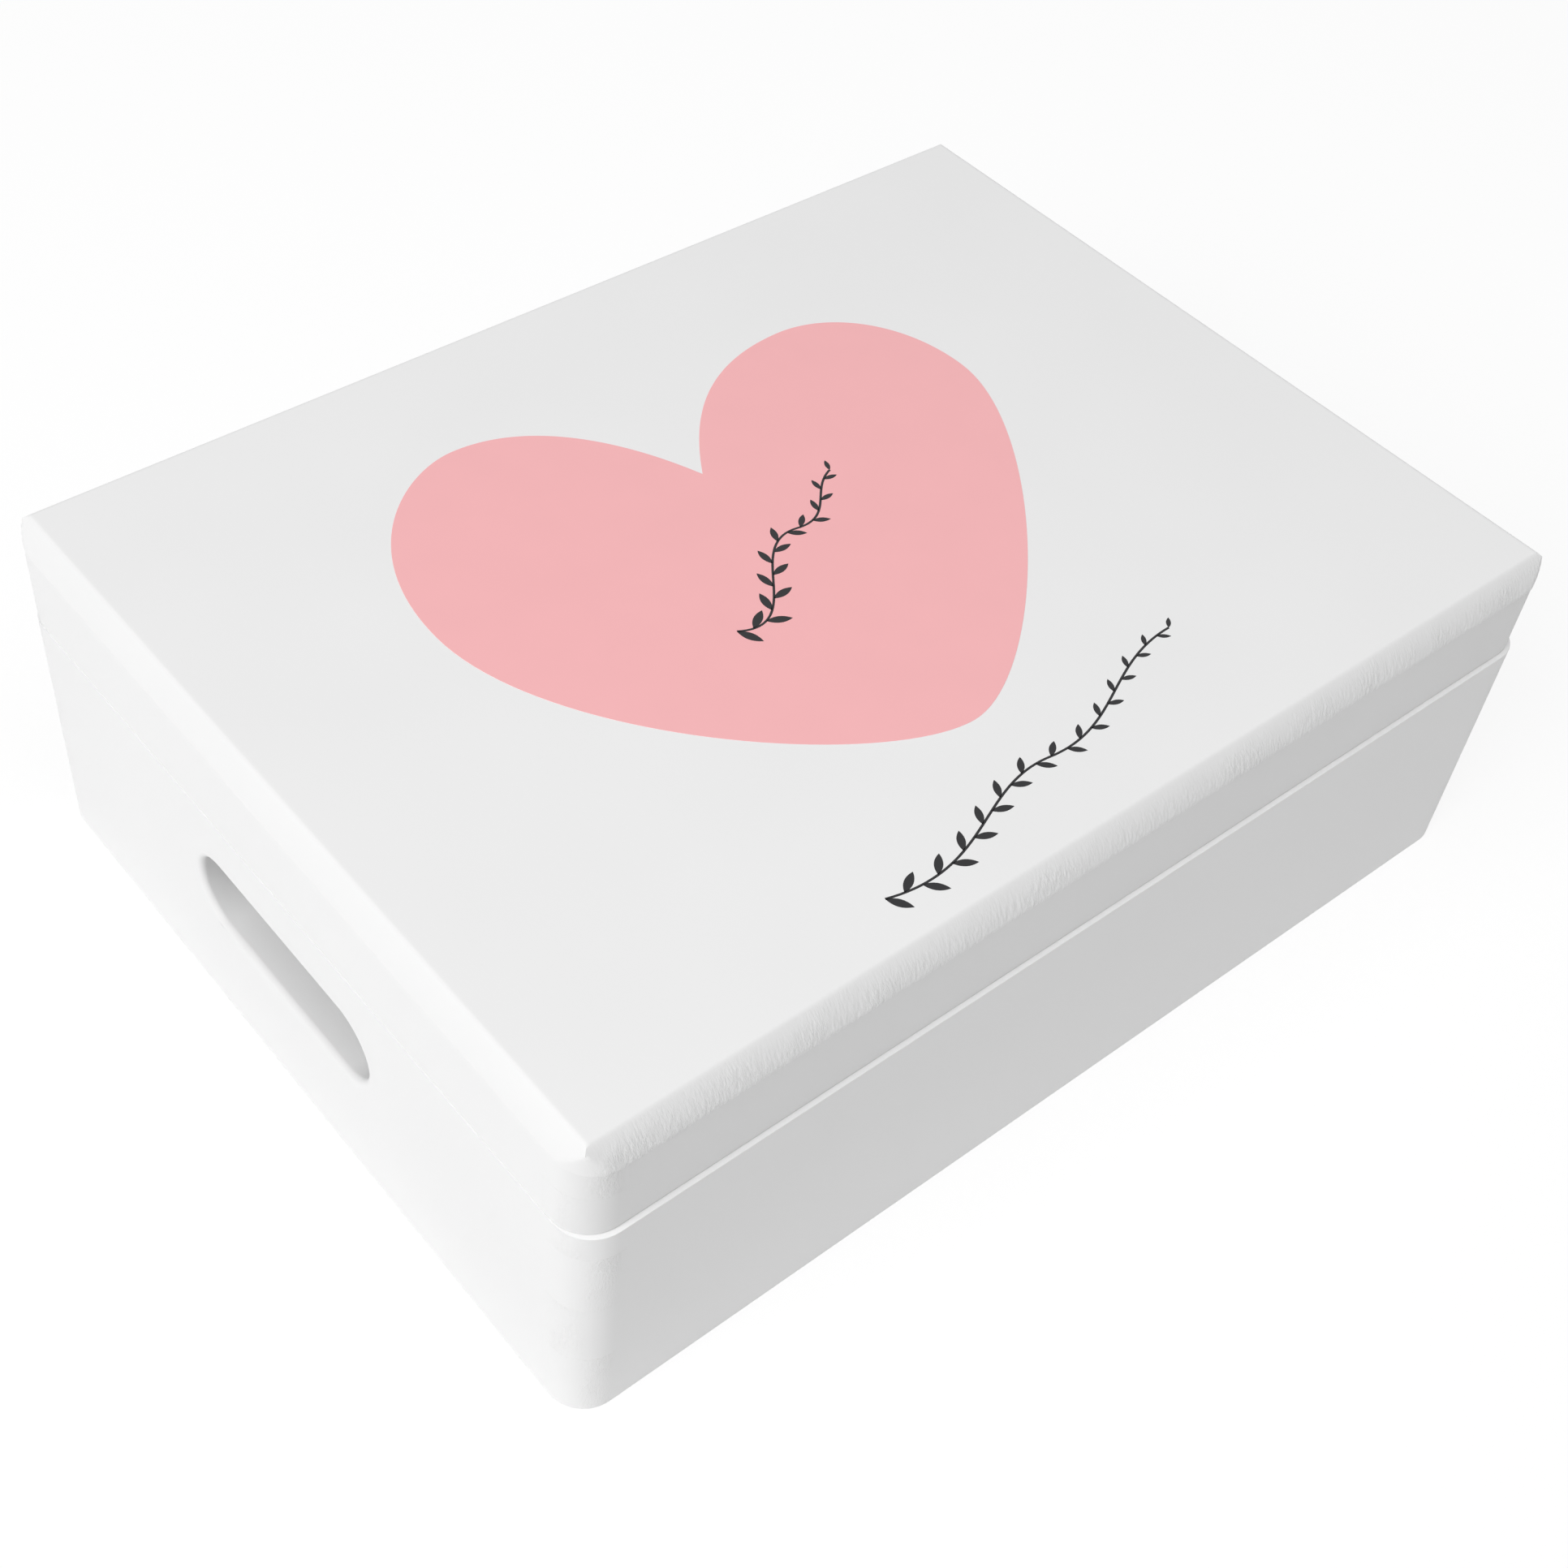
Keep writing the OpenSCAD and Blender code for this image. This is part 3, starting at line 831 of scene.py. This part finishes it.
def heart_side(out, handle, crown, flank, crown_reach, flank_reach, tip_reach):
    """One half of the heart, from the notch to the tip"""
    crown_in = (crown[0] - out * crown_reach[0], crown[1])
    crown_out = (crown[0] + out * crown_reach[1], crown[1])
    flank_in = (flank[0], flank[1] + flank_reach[0])
    flank_out = (flank[0], flank[1] - flank_reach[1])
    tip_in = (HEART_TIP[0] + out * tip_reach, HEART_TIP[1])
    return (curve(HEART_NOTCH, handle, crown_in, crown)
            + curve(crown, crown_out, flank_in, flank)
            + curve(flank, flank_out, tip_in, HEART_TIP))


def make_ink(name, colour, roughness):
    """Printing ink on the painted board: even colour, a little mottle, the board's own relief"""
    material, tree = new_material(name)
    coordinates = add(tree, "ShaderNodeTexCoord").outputs
    bump = add(tree, "ShaderNodeBump", {
        "Height": paint_relief(tree, coordinates, "y")[0], "Distance": INK_RELIEF,
        "Strength": 0.6})
    mottle = speckle(tree, coordinates["Object"], MOTTLE_PER_M)
    darker = [v * MOTTLE_SHADE for v in colour[:3]] + [1]
    finish_material(tree, add(tree, "ShaderNodeBsdfPrincipled", {
        "Base Color": blend(tree, mottle, darker, colour), "Roughness": roughness,
        "Specular IOR Level": 0.3, "Normal": bump.outputs[0]}))
    return material


def make_heart():
    """The heart's film on the top board"""
    right, left = (heart_side(**side) for side in HEART_SIDES)
    points = right + [Vector(HEART_TIP)] + list(reversed(left[1:]))
    shape = bmesh.new()
    low, high = ([shape.verts.new((p.x * MM, p.y * MM, z)) for p in points]
                 for z in (top_z, top_z + FILM))
    shape.faces.new(high)
    shape.faces.new(low)
    bridge(shape, [low, high])
    bmesh.ops.triangulate(shape, faces=[f for f in shape.faces if len(f.verts) > 4])
    bmesh.ops.recalc_face_normals(shape, faces=shape.faces)
    piece = link_mesh("lid_heart_print_piece", shape, make_ink("pink_ink", PINK, 0.5))
    print("heart:", len(points), "points round its outline")
    dress(piece, "lid", "print_pink", "lid_heart_print")


make_heart()

# %% [markdown]
# ## Hinges
#
# Two small brass-plated hinges are let into the back edge. Their leaves are bent from thin
# sheet, and the measured shape already has the bends, the knuckles and the countersunk
# holes. What it lacks is the slight roundness of stamped sheet, so the same edge rounding as
# on the boards is used again, only much finer. The plating is metal whose roughness varies
# along the rolling direction, with a little duller tarnish in broad patches.

# %% Hinge leaves
SHEET_EDGE = 0.16 * MM
SHEET_LEAST = 0.3 * MM
BRASS = (0.76, 0.62, 0.36, 1)
TARNISH = (0.66, 0.52, 0.28, 1)
STEEL = (0.70, 0.70, 0.69, 1)
DULL_STEEL = (0.50, 0.50, 0.49, 1)
ROLLING_PER_M = (60, 900, 900)
METAL_GLOSS = (0.24, 0.42)
DULL_PER_M, DULL_SPREAD = 180, (0.45, 0.75)
METAL_RELIEF = 0.02 * MM


def make_metal(name, bright, dull):
    """Plated metal: rolled streaks in its gloss and broad duller patches in its colour"""
    material, tree = new_material(name)
    place = add(tree, "ShaderNodeTexCoord").outputs["Object"]
    along = add(tree, "ShaderNodeMapping", {"Vector": place, "Scale": ROLLING_PER_M})
    streak = speckle(tree, along.outputs[0], 1.0, 3.0)
    share = remap(tree, speckle(tree, place, DULL_PER_M), DULL_SPREAD)
    bump = add(tree, "ShaderNodeBump", {"Height": streak, "Distance": METAL_RELIEF,
                                        "Strength": 0.5})
    finish_material(tree, add(tree, "ShaderNodeBsdfPrincipled", {
        "Base Color": blend(tree, share, bright, dull), "Metallic": 1.0,
        "Roughness": remap(tree, streak, to=METAL_GLOSS), "Normal": bump.outputs[0]}))
    return material


brass = make_metal("brass_plating", BRASS, TARNISH)
steel = make_metal("zinc_plating", STEEL, DULL_STEEL)
for side in ("left", "right"):
    for body in ("box", "lid"):
        node = f"{side}_hinge_{body}_leaf"
        leaf = soft_board(node, brass, [], SHEET_EDGE, SHEET_LEAST)
        dress(leaf, body, "hinge_brass", node)

# %% [markdown]
# ## Hinge pins
#
# A hinge pin is a length of wire whose two ends are peened to low domes. It could be a
# cylinder with a bevel, but a turned shape says it more plainly: a few radii along the pin's
# axis, spun round it, with both ends closed.

# %% Hinge pins
PIN_SIDES = 32
DOME = ((0.0, 0.45), (0.12, 0.72), (0.35, 0.92), (0.7, 1.0))


def turned_pin(node, body):
    """A round pin along X with domed ends, in the place of a measured pin"""
    low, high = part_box(node)
    radius = (high.z - low.z) / 2
    middle_y, middle_z = (low.y + high.y) / 2, (low.z + high.z) / 2
    profile = [(low.x + depth * MM, share * radius) for depth, share in DOME]
    profile += [(high.x - depth * MM, share * radius) for depth, share in reversed(DOME)]
    turns = [math.tau * i / PIN_SIDES for i in range(PIN_SIDES)]
    shape = bmesh.new()
    rows = [[shape.verts.new((x, middle_y + r * math.cos(t), middle_z + r * math.sin(t)))
             for t in turns] for x, r in profile]
    bridge(shape, rows)
    shape.faces.new(rows[0])
    shape.faces.new(rows[-1])
    bmesh.ops.recalc_face_normals(shape, faces=shape.faces)
    piece = link_mesh(node + "_piece", shape, steel)
    even_normals(piece)
    return dress(piece, body, "plated_steel", node)


for side in ("left", "right"):
    node = side + "_hinge_pin"
    pin = turned_pin(node, frame["nodes"][node]["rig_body"])
    print(pin.name, len(pin.data.polygons), "faces")

# %% [markdown]
# ## Screws and panel pins
#
# The same screw comes eight times and the same panel pin many times, so each is made by a
# Geometry Nodes tree. The tree gets bare points, puts one fastener on each of them, gives
# every one its own turn, and makes the whole set real. The countersunk head is a cone, and
# a cross is cut into it by a boolean with two crossed bars. Sizes are named inputs.

# %% Trees for fasteners
def new_tree(name, sizes):
    """A Geometry Nodes tree that takes points and named sizes"""
    tree = bpy.data.node_groups.new(name, "GeometryNodeTree")
    tree.interface.new_socket("Points", in_out="INPUT", socket_type="NodeSocketGeometry")
    for size in sizes:
        tree.interface.new_socket(size, in_out="INPUT", socket_type="NodeSocketFloat")
    tree.interface.new_socket("Result", in_out="OUTPUT", socket_type="NodeSocketGeometry")
    return tree, add(tree, "NodeGroupInput").outputs


def join(tree, *parts):
    """Several geometries as one"""
    node = tree.nodes.new("GeometryNodeJoinGeometry")
    for part in parts:
        tree.links.new(part.outputs[0], node.inputs[0])
    return node


def cone(tree, sides, bottom, top, depth):
    """A turned solid between two radii that stands on the point"""
    return add(tree, "GeometryNodeMeshCone", {"Vertices": sides, "Radius Bottom": bottom,
                                              "Radius Top": top, "Depth": depth})


def raised(tree, solid, height):
    """A solid moved up along its axis"""
    return add(tree, "GeometryNodeTransform", {"Geometry": solid.outputs["Mesh"],
                                               "Translation": vector(tree, z=height)})


def make_real(tree, parts, material):
    """Turns the tree's copies into a real mesh with a material and hands it out"""
    real = add(tree, "GeometryNodeRealizeInstances", {0: parts.outputs[0]})
    dressed = add(tree, "GeometryNodeSetMaterial", {"Geometry": real.outputs[0],
                                                    "Material": material})
    add(tree, "NodeGroupOutput", {0: dressed.outputs[0]})


def place_all(tree, points, fastener, turn_x, seed):
    """One steel fastener on each point, each with its own turn round its axis"""
    spin = add(tree, "FunctionNodeRandomValue", {"Min": 0.0, "Max": math.tau, "Seed": seed},
               data_type="FLOAT")
    placed = add(tree, "GeometryNodeInstanceOnPoints", {
        "Points": points, "Instance": fastener.outputs[0], "Rotation": (turn_x, 0, 0)})
    make_real(tree, add(tree, "GeometryNodeRotateInstances", {
        "Instances": placed.outputs[0],
        "Rotation": vector(tree, z=spin.outputs["Value"])}), steel)


def grow(name, points, tree, sizes, material, edges=()):
    """Runs a tree on a piece that holds points alone, or a line, and keeps a plain mesh"""
    mesh = bpy.data.meshes.new(name)
    mesh.from_pydata(points, edges, [])
    mesh.materials.append(material)
    piece = linked(name, mesh)
    modifier = piece.modifiers.new("grow", "NODES")
    modifier.node_group = tree
    for item in tree.interface.items_tree:
        if item.in_out == "INPUT" and item.name in sizes:
            modifier[item.identifier] = sizes[item.name]
    settle(piece)
    print(name, len(points), "points,", len(piece.data.polygons), "faces")
    return piece


def spread(count, pitch):
    """Places at even steps to both sides of a middle"""
    return [(i - (count - 1) / 2) * pitch for i in range(count)]


# %% Hinge screws
SCREW_SIZES = {"Head Radius": 2.5 * MM, "Head Height": 1.2 * MM, "Shank Radius": 1.3 * MM,
               "Shank Length": 10 * MM, "Cross Length": 2.9 * MM, "Cross Width": 0.55 * MM,
               "Cross Depth": 0.8 * MM}
SCREWS, SCREW_PITCH = 2, 16 * MM
SCREW_SIDES, SHANK_SIDES = 40, 24


def screw_tree():
    """A countersunk cross-head screw whose head lies at the point and whose axis is +Z"""
    tree, size = new_tree("countersunk_screw", SCREW_SIZES)
    head = cone(tree, SCREW_SIDES, size["Head Radius"], size["Shank Radius"],
                size["Head Height"])
    middle = maths(tree, "ADD", size["Head Height"],
                   maths(tree, "MULTIPLY", size["Shank Length"], 0.5))
    rod = add(tree, "GeometryNodeMeshCylinder", {
        "Vertices": SHANK_SIDES, "Radius": size["Shank Radius"],
        "Depth": size["Shank Length"]})
    depth = maths(tree, "MULTIPLY", size["Cross Depth"], 2.0)
    bars = [add(tree, "GeometryNodeMeshCube", {"Size": vector(tree, *sides, depth)}) for sides in
            ((size["Cross Length"], size["Cross Width"]),
             (size["Cross Width"], size["Cross Length"]))]
    cut = add(tree, "GeometryNodeMeshBoolean", {
        "Mesh 1": head.outputs["Mesh"], "Mesh 2": join(tree, *bars).outputs[0],
        "Self Intersection": True}, operation="DIFFERENCE", solver="EXACT")
    place_all(tree, size["Points"], join(tree, cut, raised(tree, rod, middle)),
              -math.pi / 2, 4)
    return tree


def make_screws():
    """The two screws of each leaf, on both bodies"""
    tree = screw_tree()
    for side in ("left", "right"):
        for body in ("box", "lid"):
            node = f"{side}_hinge_{body}_screws"
            low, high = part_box(node)
            middle = (low.x + high.x) / 2
            points = [(middle + step, low.y, (low.z + high.z) / 2)
                      for step in spread(SCREWS, SCREW_PITCH)]
            piece = grow(node + "_piece", points, tree, SCREW_SIZES, steel)
            even_normals(piece, SHARP_PIN)
            dress(piece, body, "plated_steel", node)


make_screws()

# %% Panel pins
PIN_SIZES = {"Head Radius": 1.6 * MM, "Head Height": 0.8 * MM, "Shank Radius": 0.8 * MM,
             "Shank Length": 13.2 * MM}
PIN_SUNK = 0.2 * MM
PIN_INSET = 12 * MM
LONG_PINS, LONG_PITCH = 4, 112 * MM
END_PINS, END_PITCH = 3, 102.75 * MM
NAIL_SIDES, POINT_SIDES = 24, 16
DOME_RIM, DOME_SHARE, DOME_OVERLAP, HEAD_OVERLAP = 0.8, 0.3, 0.95, 0.9


def pin_tree():
    """A panel pin with a low domed head at the point and its shank along +Z"""
    tree, size = new_tree("panel_pin", PIN_SIZES)
    radius, height = size["Head Radius"], size["Head Height"]
    domed = maths(tree, "MULTIPLY", height, DOME_SHARE)
    dome = cone(tree, NAIL_SIDES, maths(tree, "MULTIPLY", radius, DOME_RIM), radius, domed)
    disc = cone(tree, NAIL_SIDES, radius, radius,
                maths(tree, "MULTIPLY", height, 1 - DOME_SHARE))
    rod = cone(tree, POINT_SIDES, size["Shank Radius"], 0.0, size["Shank Length"])
    head = raised(tree, disc, maths(tree, "MULTIPLY", domed, DOME_OVERLAP))
    shank = raised(tree, rod, maths(tree, "MULTIPLY", height, HEAD_OVERLAP))
    place_all(tree, size["Points"], join(tree, dome, head, shank), 0.0, 7)
    return tree


def make_panel_pins():
    """The row of pins that holds the bottom panel, along all four edges"""
    reach_x, reach_y = box_w / 2 - PIN_INSET, box_d / 2 - PIN_INSET
    points = []
    for side in (-1, 1):
        points += [(x, side * reach_y, PIN_SUNK) for x in spread(LONG_PINS, LONG_PITCH)]
        points += [(side * reach_x, y, PIN_SUNK) for y in spread(END_PINS, END_PITCH)]
    piece = grow("box_panel_pins_piece", points, pin_tree(), PIN_SIZES, steel)
    even_normals(piece, SHARP_PIN)
    dress(piece, "box", "plated_steel", "box_panel_pins")


make_panel_pins()

# %% [markdown]
# ## Leaf sprigs
#
# Two fine sprigs in near-black ink decorate the top: a short one on the heart and a long
# garland below it. Each is grown along one given curve: the stem is a thin ribbon along
# it, and pointed leaves sit on points at even steps, leaning out left and right in turn and
# getting smaller towards the tip. The leaf is a flat disc pressed to a pointed shape by
# squaring its width. Everything is a film a few hundredths of a millimetre thick.

# %% Sprigs
INK_FILM = 0.04 * MM
INK_BLACK = (0.022, 0.022, 0.024, 1)
SPRIGS = {
    "heart_sprig": {
        "curve": ((-46, -22), (-26, -34), (-20, 8), (0, 4), (14, 1), (16, 16), (28, 20)),
        "lift": FILM, "leaf": 9.0 * MM, "step": 5.2 * MM},
    "garland_sprig": {
        "curve": ((-80, -128), (-48, -138), (-30, -112), (-4, -116), (22, -120), (38, -98),
                  (66, -98)),
        "lift": 0.0, "leaf": 8.4 * MM, "step": 6.0 * MM}}
STEM_WIDTH = 0.8 * MM
LEAF_SIDES, LEAF_SLIMNESS, LEAF_SHRINK = 28, 0.34, 0.45
LEAF_TURN = math.radians(42)


def pointed_leaf(tree, size):
    """A disc pressed to a leaf whose foot lies at the point and whose tip lies along X"""
    disc = add(tree, "GeometryNodeMeshCylinder", {"Vertices": LEAF_SIDES, "Radius": 1.0,
                                                  "Depth": 1.0})
    x, y, z = split(tree, add(tree, "GeometryNodeInputPosition").outputs[0])
    along = maths(tree, "MULTIPLY", maths(tree, "ADD", x, 1.0),
                  maths(tree, "MULTIPLY", size["Leaf Length"], 0.5))
    wide = maths(tree, "MULTIPLY", maths(tree, "ABSOLUTE", y),
                 maths(tree, "MULTIPLY", y, maths(tree, "MULTIPLY", size["Leaf Width"], 0.5)))
    thick = maths(tree, "MULTIPLY", z, size["Film"])
    return add(tree, "GeometryNodeSetPosition", {
        "Geometry": disc.outputs["Mesh"], "Position": vector(tree, along, wide, thick)})


def sprig_tree(material):
    """A ribbon stem with leaves left and right along a line of points"""
    tree, size = new_tree("sprig", ("Stem Width", "Film", "Leaf Length", "Leaf Width",
                                    "Leaf Step", "Leaf Angle"))
    line = add(tree, "GeometryNodeMeshToCurve", {"Mesh": size["Points"]}).outputs[0]
    ribbon = add(tree, "GeometryNodeCurvePrimitiveQuadrilateral",
                 {"Width": size["Stem Width"], "Height": size["Film"]})
    upright = add(tree, "GeometryNodeSetCurveNormal", {"Curve": line}, mode="Z_UP")
    stem = add(tree, "GeometryNodeCurveToMesh", {
        "Curve": upright.outputs[0], "Profile Curve": ribbon.outputs[0], "Fill Caps": True})
    spots = add(tree, "GeometryNodeResampleCurve", {"Curve": line, "Length": size["Leaf Step"]},
                mode="LENGTH")
    number = add(tree, "GeometryNodeInputIndex").outputs[0]
    turn = split(tree, add(tree, "GeometryNodeInputTangent").outputs[0])
    heading = maths(tree, "ARCTAN2", turn[1], turn[0])
    odd = maths(tree, "MULTIPLY", maths(tree, "MODULO", number, 2.0), 2.0)
    lean = maths(tree, "MULTIPLY", maths(tree, "SUBTRACT", odd, 1.0), size["Leaf Angle"])
    part = add(tree, "GeometryNodeSplineParameter").outputs["Factor"]
    smaller = maths(tree, "SUBTRACT", 1.0, maths(tree, "MULTIPLY", part, LEAF_SHRINK))
    leaves = add(tree, "GeometryNodeInstanceOnPoints", {
        "Points": spots.outputs[0], "Instance": pointed_leaf(tree, size).outputs[0],
        "Rotation": vector(tree, z=maths(tree, "ADD", heading, lean)),
        "Scale": vector(tree, smaller, smaller, 1.0)})
    make_real(tree, join(tree, stem, leaves), material)
    return tree


def stem_line(points, height):
    """Points along two joined curves, at one height"""
    line = curve(*points[:4]) + curve(*points[3:]) + [Vector(points[-1])]
    return [(p.x * MM, p.y * MM, height) for p in line]


def make_sprigs():
    """The two sprigs on the lid"""
    ink = make_ink("black_ink", INK_BLACK, 0.55)
    tree = sprig_tree(ink)
    for name, facts in SPRIGS.items():
        line = stem_line(facts["curve"], top_z + facts["lift"] + INK_FILM / 2)
        sizes = {"Stem Width": STEM_WIDTH, "Film": INK_FILM, "Leaf Length": facts["leaf"],
                 "Leaf Width": LEAF_SLIMNESS * facts["leaf"], "Leaf Step": facts["step"],
                 "Leaf Angle": LEAF_TURN}
        piece = grow(name, line, tree, sizes, ink, [(i, i + 1) for i in range(len(line) - 1)])
        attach(piece, "lid")


make_sprigs()
